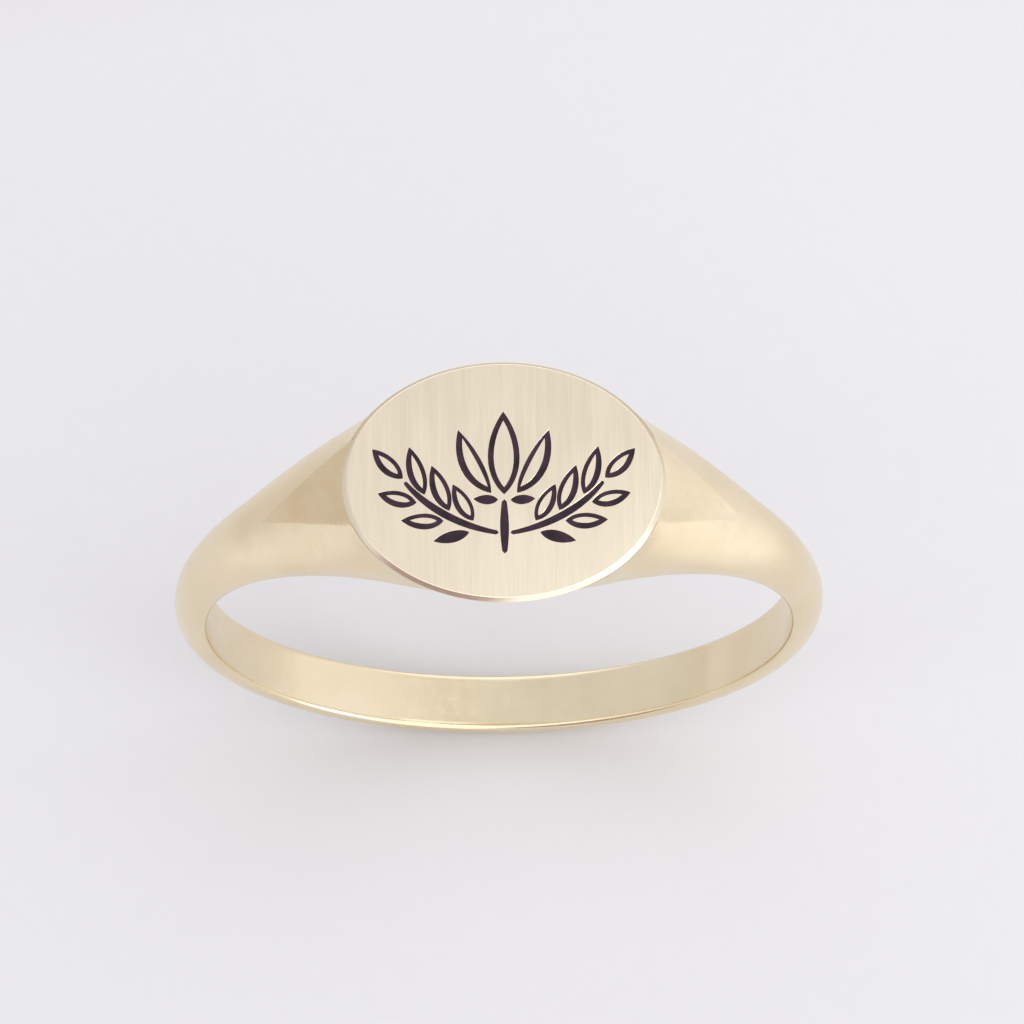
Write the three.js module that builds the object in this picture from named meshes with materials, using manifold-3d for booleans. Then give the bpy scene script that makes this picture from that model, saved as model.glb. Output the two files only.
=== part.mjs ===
// An oval signet ring in gold, built the way a bench jeweller fabricates one.
//
// A half-round shank is soldered to two tapering shoulders, the shoulders to a saddle-shaped head,
// and an oval table plate is soldered into a seat cut across the head and both shoulders. The table
// is engraved with a plain tulip between two leafy sprigs, and each engraved cut holds its own piece
// of black enamel.
//
// Frame: millimetres, +Z up through the table, +Y along the finger, +X along the table's long axis.
// The origin is on the surface under the shank, on the ring's two planes of symmetry.

import * as THREE from "three";
import { mergeVertices } from "three/addons/utils/BufferGeometryUtils.js";
import Module from "manifold-3d";

// ---------------------------------------------------------------- driving dimensions

const FINGER_RADIUS = 8.45; // a 16.9 mm finger hole
const SHANK_THICKNESS = 0.92;
const SHANK_HALF_WIDTH = 0.86;
const TABLE_HALF_LENGTH = 4.5; // along X
const TABLE_HALF_WIDTH = 3.58; // along Y
const TABLE_THICKNESS = 0.6;
const FACE_HEIGHT = 9.65; // from the finger axis up to the table's face
const RIM_BEVEL = 0.12; // height of the bevel round the table
const RIM_BEVEL_SHARE = 0.03; // the bevel's width, as a share of the half length or half width
const WALL_TAPER = 0.15; // how fast the oval wall draws in below the bevel, per mm

const HEAD_HALF_WIDTH = 2.95; // of the head at the finger hole
const FLARE_WIDTH = 2.75; // how much wider the shoulders would be at the very top
const FLARE_END = 85; // degrees from the top, where the shank reaches its own width
const DOME_RISE = 5.15; // how much higher the shoulders' dome would be at the very top
const DOME_END = 51.5; // degrees from the top, where the dome reaches the shank's thickness
const DOME_POWER = 2;
const SIDE_WALL = 0.24; // height of the shank's straight sides, next to the finger
const SIDE_WALL_RISE = 1.15; // how much higher the sides would be at the very top
const SIDE_WALL_END = 54; // degrees from the top, where they reach the shank's height

// The band's crest is an ellipse's round the shank and nearer a gable's under the facets.
const SHANK_CREST = 2;
const SHOULDER_CREST = 1.55;
const SHOULDER_CREST_ENDS = 42; // degrees from the top
const SHANK_CREST_STARTS = 62;

// Each shoulder's facet is hollowed a little, inside a triangle with its point on the crest.
const HOLLOW_POINT_X = 6.8;
const HOLLOW_SPREAD = 0.5; // the triangle's half width, per mm from its point
const HOLLOW_DEPTH = 0.12; // as a share of that half width

const HEAD_END = 18; // degrees from the top, where the head meets a shoulder
const SHOULDER_END = 75; // degrees from the top, where a shoulder meets the shank
const SOLDER = 0.05; // thickness of a soldered joint
const CLEARANCE = 0.01; // between a piece and the seat or groove it sits in

const GROOVE_DEPTH = 0.16;
const ENAMEL_BELOW_FACE = 0.012;
const CURVE_SEGMENTS = 7; // straight pieces in each curved edge of a leaf

const FINGER_AXIS_Z = FINGER_RADIUS + SHANK_THICKNESS;
const FACE_Z = FINGER_AXIS_Z + FACE_HEIGHT;

// How finely the curves are divided, and how far cutting solids reach.
const SHOULDER_STEP = 1.5; // degrees
const SHANK_STEP = 5; // degrees
const ARCH_STEPS = 16;
const HOLLOW_HEIGHT = 3.2; // the part of each facet that is divided finely
const HOLLOW_STEPS = 8;
const OVAL_SIDES = 96;
const HOLE_SIDES = 144;
const HOLE_CUT = 0.3;
const SECTOR_RADIUS = 30;
const SECTOR_DEPTH = 10;
const BLOCK_BOTTOM_Z = FINGER_AXIS_Z + 7.2; // inside the finger hole, which cuts it away

// ---------------------------------------------------------------- materials

const gold = new THREE.MeshStandardMaterial({ color: 0xe3cfa4, metalness: 1, roughness: 0.25 });
const satinGold = new THREE.MeshStandardMaterial({ color: 0xe6d6b2, metalness: 1, roughness: 0.38 });
const solder = new THREE.MeshStandardMaterial({ color: 0xd9c9a3, metalness: 1, roughness: 0.35 });
const enamel = new THREE.MeshStandardMaterial({ color: 0x2a2028, metalness: 0, roughness: 0.3 });

// ---------------------------------------------------------------- solids and meshes

const wasm = await Module();
wasm.setup();

function solidOf(geometry) {
  const bare = geometry.index ? geometry.toNonIndexed() : geometry.clone();
  bare.deleteAttribute("normal");
  bare.deleteAttribute("uv");
  const merged = mergeVertices(bare, 1e-5);
  const index = merged.index.array;
  const kept = [];
  for (let i = 0; i < index.length; i += 3) {
    const [a, b, c] = index.slice(i, i + 3);
    if (a !== b && b !== c && c !== a) kept.push(a, b, c);
  }
  return new wasm.Manifold(
    new wasm.Mesh({
      numProp: 3,
      vertProperties: merged.attributes.position.array,
      triVerts: new Uint32Array(kept),
    }),
  );
}

function geometryOf(solid) {
  const mesh = solid.getMesh();
  return new THREE.BufferGeometry()
    .setAttribute("position", new THREE.BufferAttribute(mesh.vertProperties, 3))
    .setIndex(new THREE.BufferAttribute(mesh.triVerts, 1));
}

const ring = new THREE.Group();

function addPiece(name, geometry, material) {
  const mesh = new THREE.Mesh(geometry, material);
  mesh.name = name;
  ring.add(mesh);
}

// ---------------------------------------------------------------- the band's shape

const degrees = (d) => (d * Math.PI) / 180;

// Angles are measured from the top of the ring about the finger axis, to the right.
function halfWidth(angle) {
  const flare = Math.max(0, 1 - angle / FLARE_END);
  return Math.min(SHANK_HALF_WIDTH + FLARE_WIDTH * flare ** 2, HEAD_HALF_WIDTH);
}

function domeHeight(angle) {
  const rise = Math.max(0, 1 - angle / DOME_END);
  return SHANK_THICKNESS + DOME_RISE * rise ** DOME_POWER;
}

function sideWall(angle) {
  return SIDE_WALL + SIDE_WALL_RISE * Math.max(0, 1 - angle / SIDE_WALL_END);
}

function crestPower(angle) {
  const towardShank = (angle - SHOULDER_CREST_ENDS) / (SHANK_CREST_STARTS - SHOULDER_CREST_ENDS);
  return THREE.MathUtils.lerp(SHOULDER_CREST, SHANK_CREST, THREE.MathUtils.clamp(towardShank, 0, 1));
}

// The band's section at one angle. It starts under the finger hole's wall, for the hole to cut.
function bandSection(angleInDegrees) {
  const fromTop = Math.abs(angleInDegrees);
  const width = halfWidth(fromTop);
  const wall = sideWall(fromTop);
  const arch = domeHeight(fromTop) - wall;
  const bend = 2 / crestPower(fromTop);
  const outline = [[width, -HOLE_CUT]];
  for (let i = 0; i <= ARCH_STEPS; i++) {
    const turn = (Math.PI * i) / ARCH_STEPS;
    const across = Math.sign(Math.cos(turn)) * Math.abs(Math.cos(turn)) ** bend;
    outline.push([width * across, wall + arch * Math.abs(Math.sin(turn)) ** bend]);
  }
  outline.push([-width, -HOLE_CUT]);
  const angle = degrees(angleInDegrees);
  return outline.map(([y, height]) => {
    const radius = FINGER_RADIUS + height;
    return [radius * Math.sin(angle), y, FINGER_AXIS_Z + radius * Math.cos(angle)];
  });
}

// A closed hoop through the sections all the way round.
function bandHoop() {
  const sections = [];
  for (let a = -SHOULDER_END; a < SHOULDER_END; a += SHOULDER_STEP) sections.push(bandSection(a));
  for (let a = SHOULDER_END; a < 360 - SHOULDER_END; a += SHANK_STEP) {
    sections.push(bandSection(a > 180 ? a - 360 : a));
  }
  const around = sections[0].length;
  const corner = (step, point) => (step % sections.length) * around + (point % around);
  const index = [];
  for (let i = 0; i < sections.length; i++) {
    for (let j = 0; j < around; j++) {
      index.push(corner(i, j), corner(i + 1, j + 1), corner(i + 1, j));
      index.push(corner(i, j), corner(i, j + 1), corner(i + 1, j + 1));
    }
  }
  return new THREE.BufferGeometry()
    .setAttribute("position", new THREE.Float32BufferAttribute(sections.flat(2), 3))
    .setIndex(index);
}

// A sector of the ring, for cutting out the piece between two angles.
function sector(fromDegrees, toDegrees) {
  const shape = new THREE.Shape();
  shape.absarc(0, 0, SECTOR_RADIUS, degrees(90 - fromDegrees), degrees(90 - toDegrees), true);
  shape.lineTo(0, 0);
  const wedge = new THREE.ExtrudeGeometry(shape, { depth: SECTOR_DEPTH, bevelEnabled: false });
  wedge.rotateX(Math.PI / 2);
  return solidOf(wedge.translate(0, SECTOR_DEPTH / 2, FINGER_AXIS_Z));
}

// ---------------------------------------------------------------- the oval

// A solid of revolution stretched to the table's oval. Its profile gives shares of the oval's size.
function ovalLathe(profile, margin = 0) {
  const points = profile.map(([share, z]) => new THREE.Vector2(share, z));
  const halfStep = Math.PI / OVAL_SIDES;
  const lathe = new THREE.LatheGeometry(points, OVAL_SIDES, halfStep);
  lathe.rotateX(Math.PI / 2);
  lathe.scale(TABLE_HALF_LENGTH + margin, TABLE_HALF_WIDTH + margin, 1);
  return lathe;
}

const RIM_Z = FACE_Z - RIM_BEVEL;
const wallShare = (z) => 1 - WALL_TAPER * (RIM_Z - z);

// The slope of each shoulder's facet, which just touches the shank's outside lower down.
const FACET_ANGLE =
  Math.atan2(TABLE_HALF_LENGTH, RIM_Z - FINGER_AXIS_Z) +
  Math.acos(FINGER_AXIS_Z / Math.hypot(TABLE_HALF_LENGTH, RIM_Z - FINGER_AXIS_Z));

// How far a facet is hollowed below its ruled surface.
function facetHollow(x, y) {
  const halfSpread = HOLLOW_SPREAD * (HOLLOW_POINT_X - x);
  if (Math.abs(y) >= halfSpread) return 0;
  return HOLLOW_DEPTH * halfSpread * (1 - (y / halfSpread) ** 2);
}

// Everything under the two facets: the oval, its ends sliding outwards on the way down.
function facetLimit() {
  const profile = [[0, 0], [1, 0]];
  for (let i = HOLLOW_STEPS; i >= 0; i--) {
    profile.push([1, RIM_Z - (HOLLOW_HEIGHT * i) / HOLLOW_STEPS]);
  }
  profile.push([0, RIM_Z]);
  const limit = ovalLathe(profile);
  const points = limit.attributes.position;
  for (let i = 0; i < points.count; i++) {
    const x = Math.abs(points.getX(i));
    if (x < 1e-3) continue;
    const slid = x + (RIM_Z - points.getZ(i)) / Math.tan(FACET_ANGLE);
    const hollow = facetHollow(slid, points.getY(i)) / Math.sin(FACET_ANGLE);
    points.setX(i, Math.sign(points.getX(i)) * (slid - hollow));
  }
  return solidOf(limit);
}

// ---------------------------------------------------------------- the band, piece by piece

const headBlock = ovalLathe([
  [0, BLOCK_BOTTOM_Z],
  [wallShare(BLOCK_BOTTOM_Z), BLOCK_BOTTOM_Z],
  [1, RIM_Z],
  [0, RIM_Z],
]);

const fingerHole = new THREE.CylinderGeometry(FINGER_RADIUS, FINGER_RADIUS, SECTOR_DEPTH, HOLE_SIDES);
fingerHole.translate(0, 0, FINGER_AXIS_Z);

const seatBottomZ = FACE_Z - TABLE_THICKNESS - SOLDER;
const seat = ovalLathe(
  [
    [0, seatBottomZ],
    [wallShare(seatBottomZ), seatBottomZ],
    [wallShare(FACE_Z), FACE_Z],
    [0, FACE_Z],
  ],
  CLEARANCE,
);

const band = solidOf(bandHoop())
  .add(solidOf(headBlock))
  .intersect(facetLimit())
  .subtract(solidOf(fingerHole))
  .subtract(solidOf(seat));

const bandPiece = (from, to) => geometryOf(band.intersect(sector(from, to)));

// The angle that a soldered joint takes up at the finger hole.
const jointAngle = (SOLDER / FINGER_RADIUS) * (180 / Math.PI);
const headJointEnd = HEAD_END + jointAngle;
const shankJointEnd = SHOULDER_END + jointAngle;

addPiece("shank", bandPiece(shankJointEnd, 360 - shankJointEnd), gold);
addPiece("head", bandPiece(-HEAD_END, HEAD_END), gold);
addPiece("shoulder_right", bandPiece(headJointEnd, SHOULDER_END), gold);
addPiece("shoulder_left", bandPiece(-SHOULDER_END, -headJointEnd), gold);
addPiece("solder_head_right", bandPiece(HEAD_END, headJointEnd), solder);
addPiece("solder_head_left", bandPiece(-headJointEnd, -HEAD_END), solder);
addPiece("solder_shank_right", bandPiece(SHOULDER_END, shankJointEnd), solder);
addPiece("solder_shank_left", bandPiece(-shankJointEnd, -SHOULDER_END), solder);

// ---------------------------------------------------------------- the table

const tableBottomZ = FACE_Z - TABLE_THICKNESS;
const tableBlank = ovalLathe([
  [0, tableBottomZ],
  [wallShare(tableBottomZ), tableBottomZ],
  [1, RIM_Z],
  [1 - RIM_BEVEL_SHARE, FACE_Z],
  [0, FACE_Z],
]);

const solderTopShare = wallShare(tableBottomZ - CLEARANCE);
addPiece(
  "solder_table",
  ovalLathe(
    [
      [0, seatBottomZ + CLEARANCE],
      [solderTopShare, seatBottomZ + CLEARANCE],
      [solderTopShare, tableBottomZ - CLEARANCE],
      [0, tableBottomZ - CLEARANCE],
    ],
    -2 * CLEARANCE,
  ),
  solder,
);

// ---------------------------------------------------------------- the engraving

// Each mark is an outline on the table's face, x to the right and y away from the wearer's wrist.
// It is drawn twice: a groove, and the enamel that fills it, drawn in by the clearance.

// A leaf or petal between its base and its tip. The two bulges are how far each edge stands off the
// line between them, and a share of it can be left open inside.
function leafShape([baseX, baseY], [tipX, tipY], leftBulge, rightBulge, inset) {
  const length = Math.hypot(tipX - baseX, tipY - baseY);
  const [ux, uy] = [(tipX - baseX) / length, (tipY - baseY) / length];
  const at = (along, aside) => [baseX + ux * along - uy * aside, baseY + uy * along + ux * aside];
  const shape = new THREE.Shape();
  shape.moveTo(...at(inset * 2, 0));
  shape.bezierCurveTo(
    ...at(0.22 * length, 1.33 * (leftBulge - inset)),
    ...at(0.66 * length, 1.33 * (leftBulge - inset)),
    ...at(length - inset * 3, 0),
  );
  shape.bezierCurveTo(
    ...at(0.66 * length, -1.33 * (rightBulge - inset)),
    ...at(0.22 * length, -1.33 * (rightBulge - inset)),
    ...at(inset * 2, 0),
  );
  return shape;
}

// A graver's stroke along a curve, swelling in the middle and rounded at both ends.
function strokeShape(curve, startHalf, middleHalf, endHalf, inset, steps = 12) {
  const left = [];
  const right = [];
  for (let i = 0; i <= steps; i++) {
    const t = i / steps;
    const point = curve.getPoint(t);
    const tangent = curve.getTangent(t);
    const ends = startHalf * (1 - t) + endHalf * t;
    const half = ends + (middleHalf - (startHalf + endHalf) / 2) * Math.sin(Math.PI * t) - inset;
    left.push(new THREE.Vector2(point.x - tangent.y * half, point.y + tangent.x * half));
    right.push(new THREE.Vector2(point.x + tangent.y * half, point.y - tangent.x * half));
  }
  const start = curve.getPoint(0).sub(curve.getTangent(0).multiplyScalar(startHalf - inset));
  const end = curve.getPoint(1).add(curve.getTangent(1).multiplyScalar(endHalf - inset));
  return new THREE.Shape([start, ...right, end, ...left.reverse()]);
}

function engravingPrism(shape, bottomZ, topZ) {
  const prism = new THREE.ExtrudeGeometry(shape, {
    depth: topZ - bottomZ,
    bevelEnabled: false,
    curveSegments: CURVE_SEGMENTS,
  });
  return prism.translate(0, 0, bottomZ);
}

let tableSolid = solidOf(tableBlank);
const enamelPieces = [];

function engrave(name, shapeWithInset) {
  const groove = engravingPrism(shapeWithInset(0), FACE_Z - GROOVE_DEPTH, FACE_Z + 1);
  tableSolid = tableSolid.subtract(solidOf(groove));
  const fill = engravingPrism(
    shapeWithInset(CLEARANCE),
    FACE_Z - GROOVE_DEPTH + CLEARANCE,
    FACE_Z - ENAMEL_BELOW_FACE,
  );
  enamelPieces.push([name, fill]);
}

// A leaf cut as an outline: the outline is thicker on its lower, shaded edge.
function leafOutline(base, tip, leftBulge, rightBulge, leftLine, rightLine) {
  return (inset) => {
    const outer = leafShape(base, tip, leftBulge, rightBulge, inset);
    const length = Math.hypot(tip[0] - base[0], tip[1] - base[1]);
    const toward = (share) => base.map((b, k) => b + ((tip[k] - b) * share) / length);
    const line = (leftLine + rightLine) / 2;
    const opening = leafShape(
      toward(1.3 * line - inset),
      toward(length - 1.7 * line + inset),
      leftBulge - leftLine + inset,
      rightBulge - rightLine + inset,
      0,
    );
    outer.holes.push(new THREE.Path(opening.getPoints(CURVE_SEGMENTS).reverse()));
    return outer;
  };
}

const solidLeaf = (base, tip, leftBulge, rightBulge) => (inset) =>
  leafShape(base, tip, leftBulge, rightBulge, inset);

// The tulip's middle petal, its stem, and on each side a petal and a sepal.
engrave("enamel_petal_middle", leafOutline([0, -0.42], [0, 2.05], 0.44, 0.44, 0.16, 0.16));
const stem = new THREE.QuadraticBezierCurve(
  new THREE.Vector2(0, -0.64),
  new THREE.Vector2(0, -1.4),
  new THREE.Vector2(0, -2.1),
);
engrave("enamel_stem", (inset) => strokeShape(stem, 0.07, 0.12, 0.07, inset));

for (const [side, sign] of [["left", -1], ["right", 1]]) {
  // On the left the marks are mirrored, so each leaf's two edges change places.
  const mirrored = (make) => (base, tip, upper, lower, ...lines) =>
    sign > 0
      ? make([base[0], base[1]], [tip[0], tip[1]], upper, lower, ...lines)
      : make([-base[0], base[1]], [-tip[0], tip[1]], lower, upper, ...lines.reverse());
  const outline = mirrored(leafOutline);
  const filled = mirrored(solidLeaf);

  engrave(`enamel_petal_${side}`, outline([0.36, -0.38], [1.26, 1.5], 0.18, 0.44, 0.13, 0.19));
  engrave(`enamel_sepal_${side}`, filled([0.17, -0.58], [0.86, -0.55], 0.13, 0.15));

  const branch = new THREE.CubicBezierCurve(
    new THREE.Vector2(sign * 0.22, -1.55),
    new THREE.Vector2(sign * 1.3, -1.35),
    new THREE.Vector2(sign * 2.2, -0.75),
    new THREE.Vector2(sign * 2.72, -0.08),
  );
  engrave(`enamel_branch_${side}`, (inset) => strokeShape(branch, 0.06, 0.105, 0.055, inset, 14));

  engrave(`enamel_leaf_tip_${side}`, outline([2.8, 0.06], [3.64, 0.94], 0.22, 0.27, 0.12, 0.17));
  engrave(`enamel_leaf_upper_1_${side}`, outline([0.86, -1.2], [1.42, -0.12], 0.21, 0.26, 0.1, 0.15));
  engrave(`enamel_leaf_upper_2_${side}`, outline([1.52, -0.9], [2.0, 0.44], 0.23, 0.28, 0.12, 0.17));
  engrave(`enamel_leaf_upper_3_${side}`, outline([2.2, -0.42], [2.62, 1.0], 0.22, 0.28, 0.12, 0.17));
  engrave(`enamel_leaf_lower_1_${side}`, filled([0.98, -1.54], [1.97, -1.8], 0.16, 0.18));
  engrave(`enamel_leaf_lower_2_${side}`, outline([1.68, -1.2], [2.86, -1.18], 0.21, 0.26, 0.12, 0.17));
  engrave(`enamel_leaf_lower_3_${side}`, outline([2.42, -0.66], [3.5, -0.38], 0.21, 0.26, 0.12, 0.17));
}

addPiece("table", geometryOf(tableSolid), satinGold);
for (const [name, fill] of enamelPieces) addPiece(name, fill, enamel);

export default ring;
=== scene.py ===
"""An oval signet ring in polished and satin gold, its engraving filled with black enamel."""

import math

import bmesh
import bpy
import numpy as np
from mathutils import Matrix, Vector


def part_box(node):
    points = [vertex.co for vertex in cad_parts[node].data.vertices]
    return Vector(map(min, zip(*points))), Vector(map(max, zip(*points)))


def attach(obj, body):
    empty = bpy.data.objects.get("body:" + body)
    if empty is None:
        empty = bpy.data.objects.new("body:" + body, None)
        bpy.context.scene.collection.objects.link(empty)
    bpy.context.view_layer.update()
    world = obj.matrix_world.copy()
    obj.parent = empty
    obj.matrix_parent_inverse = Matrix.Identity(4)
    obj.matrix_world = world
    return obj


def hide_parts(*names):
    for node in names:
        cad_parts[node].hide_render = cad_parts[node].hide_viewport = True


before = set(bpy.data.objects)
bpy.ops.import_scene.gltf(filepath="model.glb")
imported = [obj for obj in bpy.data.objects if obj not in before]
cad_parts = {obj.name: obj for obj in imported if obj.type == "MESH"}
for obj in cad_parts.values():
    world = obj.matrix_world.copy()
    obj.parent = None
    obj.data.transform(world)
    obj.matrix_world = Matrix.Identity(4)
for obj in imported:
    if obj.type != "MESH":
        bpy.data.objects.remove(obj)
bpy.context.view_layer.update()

MM = 0.001

# ------------------------------------------------------------------ dimensions, in millimetres

FINGER_RADIUS = 8.45
SHANK_THICKNESS = 0.92
SHANK_HALF_WIDTH = 0.86
RIM_BEVEL = 0.12  # height of the bevel round the table
RIM_BEVEL_SHARE = 0.03  # its width, as a share of the oval's half length or half width
RIM_ROUNDING = 0.022  # radius of the bevel's own two edges
WALL_TAPER = 0.15  # how fast the oval wall draws in below the bevel, per millimetre
SMALLEST_WALL_SHARE = 0.3  # the oval wall draws in no further than this share of the table
LAST_OF_EDGE = 0.98  # of the table's half width

HEAD_HALF_WIDTH = 2.95
FLARE_WIDTH = 2.75  # how much wider the shoulders would be at the very top
FLARE_END = 85  # degrees from the top, where the shank reaches its own width
DOME_RISE = 5.15  # how much higher the shoulders' dome would be at the very top
DOME_END = 51.5  # degrees from the top, where the dome reaches the shank's thickness
DOME_POWER = 2
SIDE_WALL = 0.24  # height of the band's upright sides round the shank
SIDE_WALL_RISE = 1.15  # how much they gain towards the head
SIDE_WALL_END = 54  # degrees from the top
# The band's crest is an ellipse's (2) round the shank and nearer a gable's (1) under the facets.
SHANK_CREST = 2
SHOULDER_CREST = 1.55
SHOULDER_CREST_ENDS = 42  # degrees from the top
SHANK_CREST_STARTS = 62
# Each shoulder's facet is hollowed a little, inside a triangle with its point on the crest.
HOLLOW_POINT_X = 6.8
HOLLOW_SPREAD = 0.5  # the triangle's half width, per millimetre from its point
HOLLOW_DEPTH = 0.12  # as a share of that half width

HEAD_END = 18  # degrees from the top
SHOULDER_END = 75  # degrees from the top
SOLDER = 0.05
SEAT_CLEARANCE = 0.004
SEAT_CUTTER_ABOVE_FACE = 1
SPARE_ABOVE_RIM = 0.3  # of the band, before the table's seat is cut

# How the band's surface is found, along rays from a point inside each section.
HIGHEST_CREST = 2.2  # the crest is taken to be no higher than this
CAPPED_END = 60  # degrees from the top, where the band no longer reaches the table's height
SECTION_MIDDLE = 0.45  # the point's height, as a share of the crest's
RAY_REACH = 4.0  # the rays' length, in half sections
HALVINGS = 40
SURFACE_TOLERANCE = 0.012  # how far a face's centre may be off the surface that shades it

# How softly the polished surfaces run into each other.
WIDTH_BLEND = 0.5
NECK_FILLET = 0.35
FACET_RIDGE = 0.09
FINGER_EDGE = 0.14

GROOVE_DEPTH = 0.15
GROOVE_DRAFT = 0.008  # how far each wall leans in, down to the groove's floor
GROOVE_CHAMFER = 0.006
CUTTER_ABOVE_FACE = 0.1
ENAMEL_BELOW_FACE = 0.010
ENAMEL_ABOVE_FLOOR = 0.010
ENAMEL_CLEARANCE = 0.002  # between the enamel's top edge and its groove
ENAMEL_DRAFT = 0.010  # how far each side leans in, down to the enamel's underside
ENAMEL_SAG = 0.014  # the enamel's dip between the walls of its groove
FULL_SAG_WIDTH = 0.1  # a narrower stroke of enamel dips less

# How finely the meshes are divided.
FINE_STEP = 0.375  # degrees, along the shoulders
HEAD_STEP = 0.5
SHANK_STEP = 1.5
FINE_RAYS = 192  # points round a section of the head or a shoulder
SHANK_RAYS = 96
OVAL_SIDES = 256
FACE_LOOPS = 14  # rings of faces across the flat of the table
INNERMOST_SHARE = 0.04  # size of the smallest of them, as a share of the table
CROWN_SPANS = 6  # rows of faces across the top of an enamel stroke
JOIN_DISTANCE = 1e-5  # points this close become one
TABLE_SMOOTHING = 14  # degrees, the sharpest edge that is shaded smooth
ENAMEL_SMOOTHING = 50

table_low, table_high = (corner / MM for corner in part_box("table"))
TABLE_HALF_LENGTH = table_high.x
TABLE_HALF_WIDTH = table_high.y
FACE_Z = table_high.z
TABLE_BOTTOM_Z = table_low.z
FINGER_AXIS_Z = FINGER_RADIUS + SHANK_THICKNESS  # the shank stands on the floor
RIM_Z = FACE_Z - RIM_BEVEL
RIM_HEIGHT = RIM_Z - FINGER_AXIS_Z
SEAT_BOTTOM_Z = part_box("solder_table")[0].z / MM

# Each facet falls from the rim's end so that its plane would just touch the outside of the shank.
OUTER_RADIUS = FINGER_RADIUS + SHANK_THICKNESS
RIM_DISTANCE = math.hypot(TABLE_HALF_LENGTH, RIM_HEIGHT)
FACET_ANGLE = math.atan2(TABLE_HALF_LENGTH, RIM_HEIGHT) + math.acos(OUTER_RADIUS / RIM_DISTANCE)


# ------------------------------------------------------------------ the band's shape


def soft_min(a, b, blend):
    """The smaller of a and b, its corner rounded over a width of about blend."""
    near = np.maximum(blend - np.abs(a - b), 0) / blend
    return np.minimum(a, b) - near * near * blend / 4


def soft_max(a, b, blend):
    """The larger of a and b, rounded in the same way."""
    return -soft_min(-a, -b, blend)


def half_width(degrees_from_top):
    flare = np.maximum(0, 1 - degrees_from_top / FLARE_END)
    return soft_min(SHANK_HALF_WIDTH + FLARE_WIDTH * flare**2, HEAD_HALF_WIDTH, WIDTH_BLEND)


def dome_height(degrees_from_top):
    rise = np.maximum(0, 1 - degrees_from_top / DOME_END)
    return SHANK_THICKNESS + DOME_RISE * rise**DOME_POWER


def side_wall(degrees_from_top):
    return SIDE_WALL + SIDE_WALL_RISE * np.maximum(0, 1 - degrees_from_top / SIDE_WALL_END)


def crest_power(degrees_from_top):
    angles = (SHOULDER_CREST_ENDS, SHANK_CREST_STARTS)
    return np.interp(degrees_from_top, angles, (SHOULDER_CREST, SHANK_CREST))


def facet_hollow(x, y):
    """How far the facet is hollowed below its ruled surface."""
    half_spread = np.maximum(1e-6, HOLLOW_SPREAD * (HOLLOW_POINT_X - np.abs(x)))
    across = np.minimum(1, np.abs(y) / half_spread)
    return HOLLOW_DEPTH * half_spread * (1 - across**2)


def dome_field(y, height, from_top):
    """The band itself, upright at its sides and rounded to its crest."""
    width = half_width(from_top)
    wall = side_wall(from_top)
    arch = dome_height(from_top) - wall
    above_wall = np.maximum(0, height - wall)
    power = crest_power(from_top)
    reach = np.abs(y / width) ** power + (above_wall / arch) ** power
    return (reach ** (1 / power) - 1) * np.minimum(width, arch)


def oval_wall_field(x, y, z):
    """The block under the table, an oval that draws in on the way down."""
    share = np.maximum(SMALLEST_WALL_SHARE, 1 - WALL_TAPER * (RIM_HEIGHT - z))
    across = np.hypot(x / TABLE_HALF_LENGTH, y / TABLE_HALF_WIDTH)
    return np.where(z > 0, (across - share) * TABLE_HALF_WIDTH, 1.0)


def facet_field(x, y, z):
    """Everything under the two facets, which start from the table's edge."""
    # A point wider than the table has no edge to start from, so the last of it is used.
    near_side = np.minimum(LAST_OF_EDGE, np.abs(y) / TABLE_HALF_WIDTH)
    table_edge = TABLE_HALF_LENGTH * np.sqrt(1 - near_side**2)
    beyond_edge = (np.abs(x) - table_edge) * math.sin(FACET_ANGLE)
    return beyond_edge + (z - RIM_HEIGHT) * math.cos(FACET_ANGLE) + facet_hollow(x, y)


def band_field(x, y, z):
    """Below zero inside the gold. z is measured from the finger axis."""
    from_top = np.degrees(np.abs(np.arctan2(x, z)))
    height = np.hypot(x, z) - FINGER_RADIUS
    dome = dome_field(y, height, from_top)
    sides = soft_min(dome, oval_wall_field(x, y, z), NECK_FILLET)
    shoulder = soft_max(sides, facet_field(x, y, z), FACET_RIDGE)
    bored = soft_max(shoulder, -height, FINGER_EDGE)
    return np.maximum(bored, z - RIM_HEIGHT - SPARE_ABOVE_RIM)


def band_normals(points):
    """The outward directions of the band's surface at these points."""
    nudge = 0.002
    slopes = []
    for axis in np.eye(3) * nudge:
        ahead = band_field(*(points + axis).T)
        behind = band_field(*(points - axis).T)
        slopes.append(ahead - behind)
    normals = np.array(slopes).T
    return normals / np.linalg.norm(normals, axis=1)[:, None]


def section_crest(angle):
    """About how high the band stands over the finger hole at this angle in degrees."""
    from_top = abs(angle)
    crest = min(float(dome_height(from_top)), HIGHEST_CREST)
    if from_top >= CAPPED_END:
        return crest
    top = RIM_HEIGHT + SPARE_ABOVE_RIM
    return min(crest, top / math.cos(math.radians(angle)) - FINGER_RADIUS)


def band_section(angle, rays):
    """The band's outline at one angle in degrees, found along rays from the section's middle."""
    turn = math.radians(angle)
    crest = section_crest(angle)
    ray = 2 * math.pi * (np.arange(rays) + 0.5) / rays
    step_y = float(half_width(abs(angle))) * np.cos(ray)
    step_up = 0.5 * crest * np.sin(ray)

    def along_rays(reach):
        radius = FINGER_RADIUS + SECTION_MIDDLE * crest + step_up * reach
        return radius * math.sin(turn), step_y * reach, radius * math.cos(turn)

    inside = np.zeros(rays)
    outside = np.full(rays, RAY_REACH)
    for _ in range(HALVINGS):
        middle = (inside + outside) / 2
        value = band_field(*along_rays(middle))
        inside = np.where(value < 0, middle, inside)
        outside = np.where(value < 0, outside, middle)
    return np.stack(along_rays(inside), axis=1)


# ------------------------------------------------------------------ mesh helpers


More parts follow.
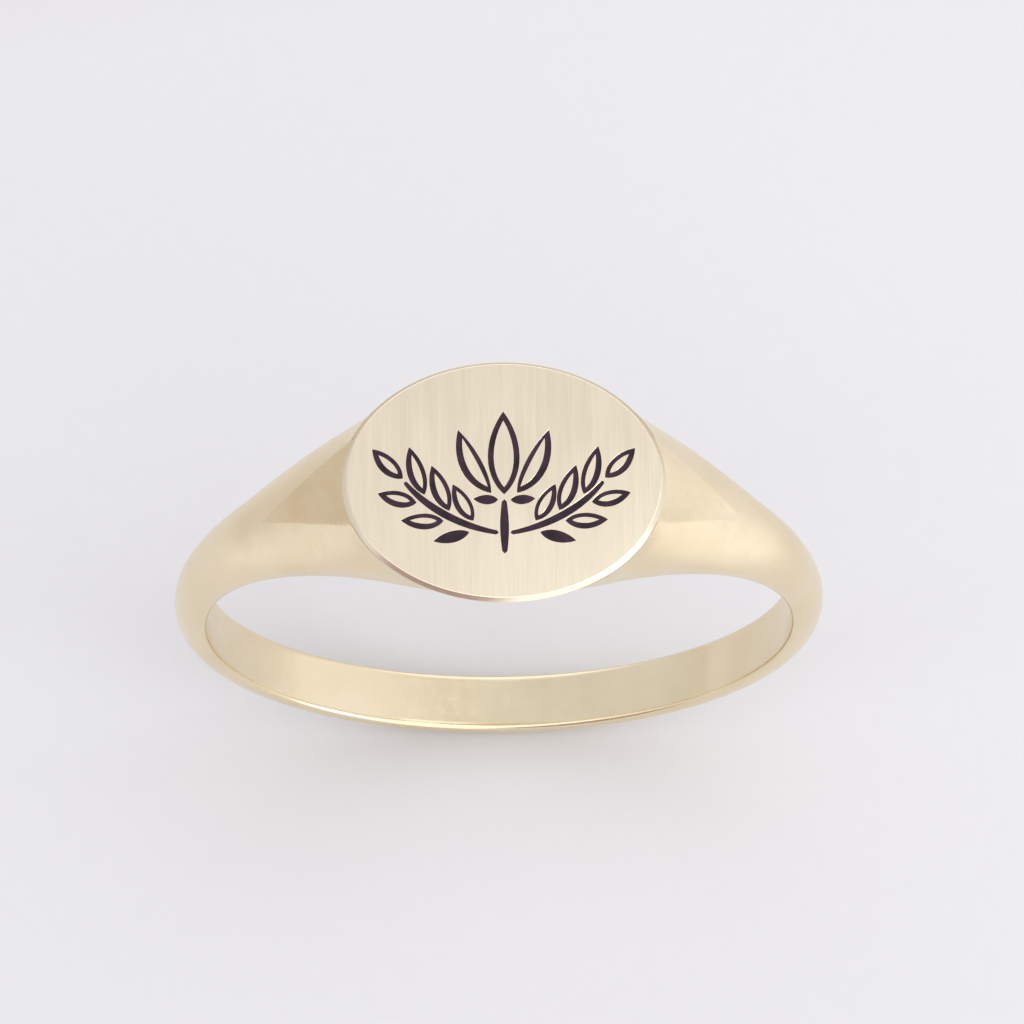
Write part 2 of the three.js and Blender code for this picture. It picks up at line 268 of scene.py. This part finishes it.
def new_piece(name, points, faces):
    """An object whose mesh is in millimetres, until it is settled in place."""
    mesh = bpy.data.meshes.new(name)
    mesh.from_pydata([tuple(p) for p in np.asarray(points, float)], [], faces)
    piece = bpy.data.objects.new(name, mesh)
    bpy.context.scene.collection.objects.link(piece)
    return piece


def settle(piece, node, slot):
    """Scales a finished piece to metres, gives it its finish and puts it in its node's place."""
    piece.data.transform(Matrix.Scale(MM, 4))
    piece.data.materials.clear()
    piece.data.materials.append(finishes[slot])
    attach(piece, "root")
    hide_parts(node)


def tube_faces(loops, around):
    """Quads between consecutive loops of points, each loop closed on itself, and both ends."""
    faces = []
    for i in range(loops - 1):
        low, high = i * around, (i + 1) * around
        for j in range(around):
            k = (j + 1) % around
            faces.append((low + j, low + k, high + k, high + j))
    faces.append(tuple(reversed(range(around))))
    faces.append(tuple(range((loops - 1) * around, loops * around)))
    return faces


def cut(piece, cutter):
    """Cuts one closed mesh from another. The cutter stays."""
    modifier = piece.modifiers.new("cut", "BOOLEAN")
    modifier.operation = "DIFFERENCE"
    modifier.solver = "MANIFOLD"
    modifier.object = cutter
    evaluated = piece.evaluated_get(bpy.context.evaluated_depsgraph_get())
    result = bpy.data.meshes.new_from_object(evaluated)
    piece.modifiers.clear()
    piece.data = result


def take_away(piece):
    bpy.data.objects.remove(piece, do_unlink=True)


def shade_from_field(piece):
    """Smooth shading from the band's true surface; faces off that surface stay flat."""
    mesh = piece.data
    axis = np.array([0, 0, FINGER_AXIS_Z])
    corners = np.array([v.co for v in mesh.vertices]) - axis
    normals = band_normals(corners)
    chosen = []
    for face in mesh.polygons:
        face.use_smooth = True
        centre = np.array(face.center) - axis
        on_surface = abs(float(band_field(*centre))) < SURFACE_TOLERANCE
        for vertex in face.vertices:
            chosen.append(tuple(normals[vertex]) if on_surface else tuple(face.normal))
    mesh.normals_split_custom_set(chosen)


def band_piece(node, start, end, step, rays, slot, cutter=None):
    """One soldered length of the band between two angles in degrees."""
    steps = max(1, round((end - start) / step))
    angles = np.linspace(start, end, steps + 1)
    sections = [band_section(((a + 180) % 360) - 180, rays) for a in angles]
    points = np.concatenate(sections) + [0, 0, FINGER_AXIS_Z]
    piece = new_piece(f"gold_{node}", points, tube_faces(steps + 1, rays))
    if cutter:
        cut(piece, cutter)
    shade_from_field(piece)
    settle(piece, node, slot)


# ------------------------------------------------------------------ the oval table


def wall_share(z):
    return 1 - WALL_TAPER * (RIM_Z - z)


def oval_solid(name, profile, margin=0.0):
    """A closed oval solid. The profile gives each loop's share of the oval and its height."""
    turn = 2 * math.pi * (np.arange(OVAL_SIDES) + 0.5) / OVAL_SIDES
    points = []
    for share, z in profile:
        x = (TABLE_HALF_LENGTH + margin) * share * np.cos(turn)
        y = (TABLE_HALF_WIDTH + margin) * share * np.sin(turn)
        points.append(np.stack([x, y, np.full(OVAL_SIDES, z)], axis=1))
    return new_piece(name, np.concatenate(points), tube_faces(len(profile), OVAL_SIDES))


def rounded_corner(before, corner, after, radius, steps=5):
    """Points on a small arc in place of a profile's corner, all in millimetres."""
    before, corner, after = (np.array(p, float) for p in (before, corner, after))
    start = corner + (before - corner) / np.linalg.norm(before - corner) * radius
    end = corner + (after - corner) / np.linalg.norm(after - corner) * radius
    shares = np.linspace(0, 1, steps)
    return [tuple((1 - s) ** 2 * start + 2 * s * (1 - s) * corner + s**2 * end) for s in shares]


def table_profile():
    """The plate's side, its bevel and its face, as shares of the oval and heights."""
    half = TABLE_HALF_WIDTH
    bottom = (half * wall_share(TABLE_BOTTOM_Z), TABLE_BOTTOM_Z)
    rim = (half, RIM_Z)
    face_edge = (half * (1 - RIM_BEVEL_SHARE), FACE_Z)
    face = (half * (1 - 2 * RIM_BEVEL_SHARE), FACE_Z)
    outline = [bottom]
    outline += rounded_corner(bottom, rim, face_edge, RIM_ROUNDING)
    outline += rounded_corner(rim, face_edge, face, RIM_ROUNDING)
    inner_shares = np.linspace(1 - 2 * RIM_BEVEL_SHARE, INNERMOST_SHARE, FACE_LOOPS)
    return [(across / half, z) for across, z in outline] + [(s, FACE_Z) for s in inner_shares]


# ------------------------------------------------------------------ the engraving

# Each mark is a function. Given an inset, it gives the mark's two edges, and whether they close.

LEAF_STEPS = 20
STROKE_STEPS = 28
LOW_HANDLE = 0.22  # where a leaf's edge bulges, as shares of its length
HIGH_HANDLE = 0.66
HANDLE_HEIGHT = 1.33  # of the bulge, because a cubic reaches three quarters of its handles' height
BASE_INSET = 2  # a leaf's pointed ends draw in faster than its edges do
TIP_INSET = 3
BASE_LINES = 1.3  # from an outlined leaf's ends to its bare metal, in line thicknesses
TIP_LINES = 1.7


def bezier(points, t):
    """Points on a quadratic or cubic curve through 3 or 4 control points."""
    t = np.asarray(t)[:, None]
    rows = [np.array(p, float)[None, :] for p in points]
    while len(rows) > 1:
        rows = [a * (1 - t) + b * t for a, b in zip(rows, rows[1:])]
    return rows[0]


def leaf_edges(base, tip, left_bulge, right_bulge, inset=0.0):
    """A leaf's two edges from base to tip, left one first. An inset draws the whole leaf in."""
    base, tip = np.array(base, float), np.array(tip, float)
    length = np.linalg.norm(tip - base)
    along = (tip - base) / length
    aside = np.array([-along[1], along[0]])
    t = (1 - np.cos(np.linspace(0, math.pi, LEAF_STEPS + 1))) / 2
    start = base + along * inset * BASE_INSET
    end = base + along * (length - inset * TIP_INSET)
    edges = []
    for bulge in (left_bulge - inset, inset - right_bulge):
        handle = aside * HANDLE_HEIGHT * bulge
        low = base + along * LOW_HANDLE * length + handle
        high = base + along * HIGH_HANDLE * length + handle
        edges.append(bezier([start, low, high, end], t))
    return edges


def filled_leaf(base, tip, left_bulge, right_bulge):
    """A leaf that is cut away and filled all over."""

    def rails(inset):
        left, right = leaf_edges(base, tip, left_bulge, right_bulge, inset)
        return left, right, False

    return rails


def outlined_leaf(base, tip, left_bulge, right_bulge, left_line, right_line):
    """A leaf with bare metal inside its line. The line is thicker on its shaded edge."""

    def rails(inset):
        outer = leaf_edges(base, tip, left_bulge, right_bulge, inset)
        start, end = np.array(base, float), np.array(tip, float)
        length = np.linalg.norm(end - start)
        along = (end - start) / length
        line = (left_line + right_line) / 2
        inner = leaf_edges(
            start + along * (BASE_LINES * line - inset),
            start + along * (length - TIP_LINES * line + inset),
            left_bulge - left_line + inset,
            right_bulge - right_line + inset,
        )
        closed = [np.concatenate([left, right[-2:0:-1]]) for left, right in (outer, inner)]
        return closed[0], closed[1], True

    return rails


def stroke(points, start_half, middle_half, end_half):
    """A graver's stroke along a curve, given its half widths. Each end comes to a blunt point."""

    def rails(inset):
        t = np.linspace(0, 1, STROKE_STEPS + 1)
        centre = bezier(points, t)
        tangent = np.gradient(centre, axis=0)
        tangent /= np.linalg.norm(tangent, axis=1)[:, None]
        ends = start_half * (1 - t) + end_half * t
        swell = (middle_half - (start_half + end_half) / 2) * np.sin(math.pi * t)
        half = (ends + swell - inset)[:, None]
        aside = np.stack([-tangent[:, 1], tangent[:, 0]], axis=1)
        left, right = centre + aside * half, centre - aside * half
        first = centre[0] - tangent[0] * (start_half - inset)
        last = centre[-1] + tangent[-1] * (end_half - inset)
        return np.vstack([first, left, last]), np.vstack([first, right, last]), False

    return rails


def mirror(point, side):
    return (side * point[0], point[1])


def engraving():
    """Every mark on the table by the name of its enamel's node, as rails for a given inset."""
    marks = {
        "enamel_petal_middle": outlined_leaf((0, -0.42), (0, 2.05), 0.44, 0.44, 0.16, 0.16),
        "enamel_stem": stroke([(0, -0.64), (0, -1.4), (0, -2.1)], 0.07, 0.12, 0.07),
    }
    # Base, tip, how far the upper and the lower edge bulge, and how thick the line is at each.
    outlines = {
        "petal": ((0.36, -0.38), (1.26, 1.5), 0.18, 0.44, 0.13, 0.19),
        "leaf_tip": ((2.8, 0.06), (3.64, 0.94), 0.22, 0.27, 0.12, 0.17),
        "leaf_upper_1": ((0.86, -1.2), (1.42, -0.12), 0.21, 0.26, 0.1, 0.15),
        "leaf_upper_2": ((1.52, -0.9), (2.0, 0.44), 0.23, 0.28, 0.12, 0.17),
        "leaf_upper_3": ((2.2, -0.42), (2.62, 1.0), 0.22, 0.28, 0.12, 0.17),
        "leaf_lower_2": ((1.68, -1.2), (2.86, -1.18), 0.21, 0.26, 0.12, 0.17),
        "leaf_lower_3": ((2.42, -0.66), (3.5, -0.38), 0.21, 0.26, 0.12, 0.17),
    }
    # Base, tip, and how far the upper and the lower edge bulge.
    filled = {
        "sepal": ((0.17, -0.58), (0.86, -0.55), 0.13, 0.15),
        "leaf_lower_1": ((0.98, -1.54), (1.97, -1.8), 0.16, 0.18),
    }
    branch = [(0.22, -1.55), (1.3, -1.35), (2.2, -0.75), (2.72, -0.08)]
    for word, side in (("left", -1), ("right", 1)):
        for name, (base, tip, upper, lower, upper_line, lower_line) in outlines.items():
            bulges = (upper, lower) if side > 0 else (lower, upper)
            lines = (upper_line, lower_line) if side > 0 else (lower_line, upper_line)
            marks[f"enamel_{name}_{word}"] = outlined_leaf(
                mirror(base, side), mirror(tip, side), *bulges, *lines
            )
        for name, (base, tip, upper, lower) in filled.items():
            bulges = (upper, lower) if side > 0 else (lower, upper)
            marks[f"enamel_{name}_{word}"] = filled_leaf(mirror(base, side), mirror(tip, side), *bulges)
        points = [mirror(p, side) for p in branch]
        marks[f"enamel_branch_{word}"] = stroke(points, 0.06, 0.105, 0.055)
    return marks


def crown_rows(left, right, z, spans, sag):
    """The rows of points between the two edges of a ribbon's top, which dips in the middle."""
    width = np.linalg.norm(left - right, axis=1)
    rows = []
    for share in np.arange(1, spans) / spans:
        dip = sag * 4 * share * (1 - share) * np.minimum(1, width / FULL_SAG_WIDTH)
        rows.append(np.column_stack([left * (1 - share) + right * share, z - dip]))
    return rows


def ribbon(rails_at, levels, spans, top_sag=0.0):
    """A closed solid between two rails. Each level is (inset, height), from the bottom up."""
    left_rows, right_rows = [], []
    for inset, z in levels:
        left, right, closed = rails_at(inset)
        height = np.full(len(left), z)
        left_rows.append(np.column_stack([left, height]))
        right_rows.append(np.column_stack([right, height]))
    rows = left_rows + crown_rows(left, right, z, spans, top_sag) + right_rows[::-1]
    count = len(left)
    faces = []
    for row in range(len(rows)):
        this, following = row * count, (row + 1) % len(rows) * count
        for i in range(count if closed else count - 1):
            j = (i + 1) % count
            faces.append((this + j, this + i, following + i, following + j))
    return np.concatenate(rows), faces


def join_points(piece):
    """Joins the points that lie on each other, at the sharp ends of the strokes."""
    work = bmesh.new()
    work.from_mesh(piece.data)
    bmesh.ops.remove_doubles(work, verts=work.verts, dist=JOIN_DISTANCE)
    work.to_mesh(piece.data)
    work.free()


def groove_cutter(marks):
    """One mesh of all the grooves, each with a narrow chamfer at its mouth."""
    levels = [
        (GROOVE_DRAFT, FACE_Z - GROOVE_DEPTH),
        (0.0, FACE_Z - GROOVE_CHAMFER),
        (-GROOVE_CHAMFER, FACE_Z),
        (-GROOVE_CHAMFER, FACE_Z + CUTTER_ABOVE_FACE),
    ]
    points, faces = [], []
    for rails_at in marks.values():
        new_points, new_faces = ribbon(rails_at, levels, spans=1)
        faces.extend(tuple(i + len(points) for i in face) for face in new_faces)
        points.extend(new_points)
    cutter = new_piece("cutter", points, faces)
    join_points(cutter)
    return cutter


def smooth_by_angle(piece, degrees):
    """Smooth shading, apart from edges that turn by more than this."""
    piece.data.shade_smooth()
    piece.data.set_sharp_from_angle(angle=math.radians(degrees))


def flatten_face(piece):
    """Keeps the bevel's smooth shading from bleeding into the flat of the table."""
    mesh = piece.data
    normals = [corner.vector.copy() for corner in mesh.corner_normals]
    nearly_up = 0.999
    for face in mesh.polygons:
        if face.normal.z > nearly_up:
            for corner in face.loop_indices:
                normals[corner] = face.normal
    mesh.normals_split_custom_set(normals)


def make_table(marks):
    """The engraved plate."""
    table = oval_solid("gold_table", table_profile())
    cutter = groove_cutter(marks)
    cut(table, cutter)
    take_away(cutter)
    smooth_by_angle(table, TABLE_SMOOTHING)
    flatten_face(table)
    settle(table, "table", "satin_gold")


def make_enamel(marks):
    """One filling for each groove."""
    levels = [
        (ENAMEL_CLEARANCE + ENAMEL_DRAFT, FACE_Z - GROOVE_DEPTH + ENAMEL_ABOVE_FLOOR),
        (ENAMEL_CLEARANCE, FACE_Z - ENAMEL_BELOW_FACE),
    ]
    for node, rails_at in marks.items():
        points, faces = ribbon(rails_at, levels, CROWN_SPANS, ENAMEL_SAG)
        piece = new_piece(f"filling_{node}", points, faces)
        join_points(piece)
        smooth_by_angle(piece, ENAMEL_SMOOTHING)
        settle(piece, node, "black_enamel")


# ------------------------------------------------------------------ materials


class Nodes:
    """Short calls for building one material's nodes."""

    def __init__(self, name):
        self.material = bpy.data.materials.new(name)
        self.material.use_nodes = True
        self.tree = self.material.node_tree
        self.shader = self.tree.nodes["Principled BSDF"]
        self.place = self.tree.nodes.new("ShaderNodeTexCoord").outputs["Object"]

    def add(self, kind, inputs=None, **settings):
        node = self.tree.nodes.new(kind)
        for key, value in settings.items():
            setattr(node, key, value)
        for key, value in (inputs or {}).items():
            if isinstance(value, bpy.types.NodeSocket):
                self.tree.links.new(value, node.inputs[key])
            else:
                node.inputs[key].default_value = value
        return node

    def noise(self, sizes_mm, detail, rotation=(0, 0, 0)):
        """Noise with its own grain size along each axis, in millimetres."""
        scale = tuple(1 / (size * MM) for size in sizes_mm)
        turned = self.add("ShaderNodeMapping", {"Vector": self.place, "Rotation": rotation})
        moved = self.add("ShaderNodeMapping", {"Vector": turned.outputs[0], "Scale": scale})
        return self.add(
            "ShaderNodeTexNoise", {"Vector": moved.outputs[0], "Scale": 1.0, "Detail": detail}
        ).outputs["Fac"]

    def between(self, value, low, high, new_low, new_high):
        """The value, with its range from low to high stretched over the new one."""
        node = self.add(
            "ShaderNodeMapRange",
            {"Value": value, "From Min": low, "From Max": high, "To Min": new_low, "To Max": new_high},
        )
        return node.outputs["Result"]

    def sum(self, a, b):
        return self.add("ShaderNodeMath", {0: a, 1: b}, operation="ADD").outputs[0]

    def tint(self, value, dark, light):
        """A colour from dark to light as the value goes from 0 to 1."""
        node = self.add(
            "ShaderNodeMix", {"Factor": value, "A": (*dark, 1), "B": (*light, 1)}, data_type="RGBA"
        )
        return node.outputs["Result"]

    def use(self, socket, value):
        """Gives the shader's socket a plain value or another node's output."""
        if isinstance(value, bpy.types.NodeSocket):
            self.tree.links.new(value, self.shader.inputs[socket])
        else:
            self.shader.inputs[socket].default_value = value

    def bump(self, height, depth_um, under=None):
        """Relief of a depth in micrometres, over another relief if there is one."""
        inputs = {"Height": height, "Distance": depth_um * 1e-6}
        if under is not None:
            inputs["Normal"] = under
        return self.add("ShaderNodeBump", inputs).outputs[0]


def polished_gold():
    """Pale yellow gold, softly hazed, with fine hair marks from polishing in two directions."""
    nodes = Nodes("polished_gold")
    broad = nodes.noise((2.2, 2.2, 2.2), detail=2)
    haze = nodes.noise((0.35, 0.35, 0.35), detail=4)
    hairs = nodes.noise((0.035, 1.4, 0.08), detail=2, rotation=(0.3, 0.2, 0.5))
    cross_hairs = nodes.noise((1.1, 0.035, 0.08), detail=2, rotation=(0.1, -0.4, 0.35))
    colour = nodes.tint(nodes.between(broad, 0.3, 0.7, 0, 1), (0.83, 0.70, 0.475), (0.88, 0.765, 0.55))
    nodes.use("Base Color", colour)
    nodes.use("Metallic", 1.0)
    rough = nodes.between(haze, 0.3, 0.75, 0.14, 0.24)
    marks = nodes.between(nodes.sum(hairs, cross_hairs), 1.05, 1.3, 0.0, 0.08)
    nodes.use("Roughness", nodes.sum(rough, marks))
    first = nodes.bump(hairs, 0.5)
    second = nodes.bump(cross_hairs, 0.4, under=first)
    nodes.use("Normal", nodes.bump(haze, 1.2, under=second))
    return nodes.material


def satin_gold():
    """The same gold, evenly brushed along the finger."""
    nodes = Nodes("satin_gold")
    broad = nodes.noise((3.0, 3.0, 3.0), detail=2)
    grain = nodes.noise((0.06, 2.2, 1.0), detail=1)
    wide_grain = nodes.noise((0.2, 3.5, 1.0), detail=1)
    colour = nodes.tint(nodes.between(grain, 0.3, 0.7, 0, 1), (0.84, 0.735, 0.565), (0.865, 0.765, 0.59))
    nodes.use("Base Color", colour)
    nodes.use("Metallic", 1.0)
    rough = nodes.between(nodes.sum(wide_grain, broad), 0.7, 1.3, 0.2, 0.28)
    nodes.use("Roughness", rough)
    nodes.use("Normal", nodes.bump(grain, 0.15))
    return nodes.material


def gold_solder():
    """Solder a shade duller than the gold, filed flush and polished."""
    nodes = Nodes("gold_solder")
    haze = nodes.noise((0.3, 0.3, 0.3), detail=4)
    nodes.use("Base Color", nodes.tint(haze, (0.83, 0.71, 0.49), (0.87, 0.755, 0.54)))
    nodes.use("Metallic", 1.0)
    nodes.use("Roughness", nodes.between(haze, 0.3, 0.75, 0.16, 0.25))
    nodes.use("Normal", nodes.bump(haze, 1.2))
    return nodes.material


def black_enamel():
    """Near-black, a little purple, with a dull, finely pitted surface."""
    nodes = Nodes("black_enamel")
    cloud = nodes.noise((0.5, 0.5, 0.5), detail=3)
    pits = nodes.noise((0.03, 0.03, 0.03), detail=3)
    colour = nodes.tint(nodes.between(cloud, 0.35, 0.7, 0, 1), (0.014, 0.006, 0.011), (0.05, 0.018, 0.04))
    nodes.use("Base Color", colour)
    nodes.use("Roughness", nodes.between(pits, 0.3, 0.7, 0.4, 0.6))
    nodes.use("Specular IOR Level", 0.25)
    nodes.use("Normal", nodes.bump(pits, 0.8))
    return nodes.material


# Painted shade: the floor well behind the ring is coloured darker and warmer, so the ring's sides reflect
# a darker surround.
AWAY = (-0.2, 0.98, 0)  # across the floor, away from the camera
PAINTED_SHADE_STARTS = 24  # millimetres from the ring
PAINTED_SHADE_FULL = 44
PAINTED_SHADE_TONE = (0.58, 0.525, 0.475, 1)


def pale_floor():
    """Pale paper with painted shade: a darker, warmer tone well behind the ring, which the ring's sides
    reflect.
    """
    nodes = Nodes("pale_floor")
    away = nodes.add("ShaderNodeVectorMath", {0: nodes.place, 1: AWAY}, operation="DOT_PRODUCT")
    far = nodes.between(away.outputs["Value"], PAINTED_SHADE_STARTS * MM, PAINTED_SHADE_FULL * MM, 0, 1)
    fibres = nodes.noise((0.6, 0.6, 0.6), detail=4)
    near_tone = nodes.tint(fibres, (0.695, 0.69, 0.70), (0.715, 0.71, 0.72))
    # The painted shade, mixed over the paper's own tone.
    paper_and_painted_shade = nodes.add(
        "ShaderNodeMix", {"Factor": far, "A": near_tone, "B": PAINTED_SHADE_TONE}, data_type="RGBA"
    )
    nodes.use("Base Color", paper_and_painted_shade.outputs["Result"])
    nodes.use("Roughness", 0.9)
    return nodes.material


finishes = {
    "polished_gold": polished_gold(),
    "satin_gold": satin_gold(),
    "gold_solder": gold_solder(),
    "black_enamel": black_enamel(),
}


# ------------------------------------------------------------------ the ring


def table_seat():
    """A cutter for the tapered seat that the table and its solder lie in."""
    top_z = FACE_Z + SEAT_CUTTER_ABOVE_FACE
    profile = [(wall_share(z), z) for z in (SEAT_BOTTOM_Z, top_z)]
    return oval_solid("seat", profile, SEAT_CLEARANCE)


def make_band():
    """The head, the shank, and on each side the shoulder and the two soldered joints."""
    seat = table_seat()
    joint = math.degrees(SOLDER / FINGER_RADIUS)
    head_joint_end = HEAD_END + joint
    shank_joint_end = SHOULDER_END + joint
    gold, solder = "polished_gold", "gold_solder"
    band_piece("head", -HEAD_END, HEAD_END, HEAD_STEP, FINE_RAYS, gold, seat)
    band_piece("shank", shank_joint_end, 360 - shank_joint_end, SHANK_STEP, SHANK_RAYS, gold)
    sides = (
        ("shoulder", head_joint_end, SHOULDER_END, FINE_STEP, FINE_RAYS, gold, seat),
        ("solder_head", HEAD_END, head_joint_end, joint, FINE_RAYS, solder, seat),
        ("solder_shank", SHOULDER_END, shank_joint_end, joint, SHANK_RAYS, solder),
    )
    for name, start, end, *how in sides:
        band_piece(f"{name}_right", start, end, *how)
        band_piece(f"{name}_left", -end, -start, *how)
    take_away(seat)


def make_ring():
    make_band()
    marks = engraving()
    make_table(marks)
    make_enamel(marks)
    under_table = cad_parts["solder_table"].data
    under_table.materials.clear()
    under_table.materials.append(finishes["gold_solder"])


# ------------------------------------------------------------------ the studio

# Angles in degrees, lengths in millimetres.
CAMERA_AZIMUTH = -3.03
CAMERA_ELEVATION = 68.59
CAMERA_ROLL = 2.53
CAMERA_DISTANCE = 200.0  # from the middle of the finger hole
CAMERA_ASIDE = 0.26  # to the right of the finger hole's middle
CAMERA_RAISED = 2.65  # above it
CAMERA_LENS = 242.9
CAMERA_SENSOR = 36
CAMERA_SEES_FROM = 10
CAMERA_SEES_TO = 10000

FLOOR_REACH = 1500

OVERHEAD = (0.77, 0.775, 0.80)
# Each: the direction, where on the way to it the change starts and is complete, and its light.
WORLD_LOBES = (
    ((0.1, -0.85, 0.5), 0.1, 0.8, (1.5, 1.5, 1.53)),
    ((0.95, 0.25, 0.2), 0.5, 0.95, (1.02, 1.02, 1.06)),
    ((0.0, 0.9, 0.42), 0.72, 0.96, (1.35, 1.35, 1.38)),
    ((-0.47, -0.82, 0.32), 0.8, 0.93, (0.45, 0.34, 0.36)),
)
# Each: its place, what it is aimed at, its two sides, its power and its spread. The pools light
# two patches of the floor, beside the ring, that the shoulders reflect.
SOFT_BOXES = {
    "window": ((280, -160, 90), (0, 0, 12), (150, 120), 0.2, 180),
    "overhead": ((27, 3, 80), (10, 2, 19), (38, 54), 0.0046, 180),
    "pool_right": ((83, 5, 140), (83, 5, 0), (30, 30), 0.0074, 45),
    "pool_left": ((-82, -14, 140), (-82, -14, 0), (30, 30), 0.0032, 42),
}


def make_camera():
    """A long lens, looking steeply down on the ring from in front."""
    azimuth, elevation, roll = map(math.radians, (CAMERA_AZIMUTH, CAMERA_ELEVATION, CAMERA_ROLL))
    back = Vector(
        (
            math.sin(azimuth) * math.cos(elevation),
            -math.cos(azimuth) * math.cos(elevation),
            math.sin(elevation),
        )
    )
    right = Vector((math.cos(azimuth), math.sin(azimuth), 0))
    up = back.cross(right)
    place = back * CAMERA_DISTANCE + right * CAMERA_ASIDE + up * CAMERA_RAISED
    place.z += FINGER_AXIS_Z
    turned_right = right * math.cos(roll) + up * math.sin(roll)
    turned_up = up * math.cos(roll) - right * math.sin(roll)
    data = bpy.data.cameras.new("camera")
    data.sensor_width = CAMERA_SENSOR
    data.lens = CAMERA_LENS
    data.clip_start = CAMERA_SEES_FROM * MM
    data.clip_end = CAMERA_SEES_TO * MM
    camera = bpy.data.objects.new("camera", data)
    axes = Matrix((turned_right, turned_up, back)).transposed().to_4x4()
    camera.matrix_world = Matrix.Translation(place * MM) @ axes
    bpy.context.scene.collection.objects.link(camera)
    bpy.context.scene.camera = camera


def make_floor():
    reach = FLOOR_REACH
    corners = [(-reach, -reach, 0), (reach, -reach, 0), (reach, reach, 0), (-reach, reach, 0)]
    floor = new_piece("floor", corners, [(0, 1, 2, 3)])
    floor.data.transform(Matrix.Scale(MM, 4))
    floor.data.materials.append(pale_floor())


def soft_box(name, place_mm, aim_mm, size_mm, power, spread):
    """A rectangular area light. Its power is in watts and its spread in degrees."""
    data = bpy.data.lights.new(name, "AREA")
    data.shape = "RECTANGLE"
    data.size, data.size_y = (side * MM for side in size_mm)
    data.energy = power
    data.spread = math.radians(spread)
    light = bpy.data.objects.new(name, data)
    light.location = Vector(place_mm) * MM
    towards = Vector(aim_mm) - Vector(place_mm)
    light.rotation_euler = towards.to_track_quat("-Z", "Y").to_euler()
    bpy.context.scene.collection.objects.link(light)


def mix_in_lobe(tree, direction, colour, lobe):
    """Turns a colour into the lobe's own light, towards the lobe's direction."""
    towards, start, full, light = lobe
    dot = tree.nodes.new("ShaderNodeVectorMath")
    dot.operation = "DOT_PRODUCT"
    dot.inputs[1].default_value = Vector(towards).normalized()
    tree.links.new(direction, dot.inputs[0])
    share = tree.nodes.new("ShaderNodeMapRange")
    share.interpolation_type = "SMOOTHSTEP"
    share.inputs["From Min"].default_value = start
    share.inputs["From Max"].default_value = full
    tree.links.new(dot.outputs["Value"], share.inputs["Value"])
    mix = tree.nodes.new("ShaderNodeMix")
    mix.data_type = "RGBA"
    mix.inputs["B"].default_value = (*light, 1)
    tree.links.new(share.outputs["Result"], mix.inputs["Factor"])
    tree.links.new(colour, mix.inputs["A"])
    return mix.outputs["Result"]


def make_world():
    """A pale studio, brighter in front, behind and to the right, with a dim patch low in front."""
    world = bpy.data.worlds.new("studio")
    world.use_nodes = True
    bpy.context.scene.world = world
    tree = world.node_tree
    direction = tree.nodes.new("ShaderNodeTexCoord").outputs["Generated"]
    overhead = tree.nodes.new("ShaderNodeRGB")
    overhead.outputs[0].default_value = (*OVERHEAD, 1)
    colour = overhead.outputs[0]
    for lobe in WORLD_LOBES:
        colour = mix_in_lobe(tree, direction, colour, lobe)
    tree.links.new(colour, tree.nodes["Background"].inputs["Color"])


def make_lights():
    make_world()
    for name, settings in SOFT_BOXES.items():
        soft_box(name, *settings)


bpy.context.scene.view_settings.view_transform = "Standard"
make_camera()
make_ring()
make_floor()
make_lights()
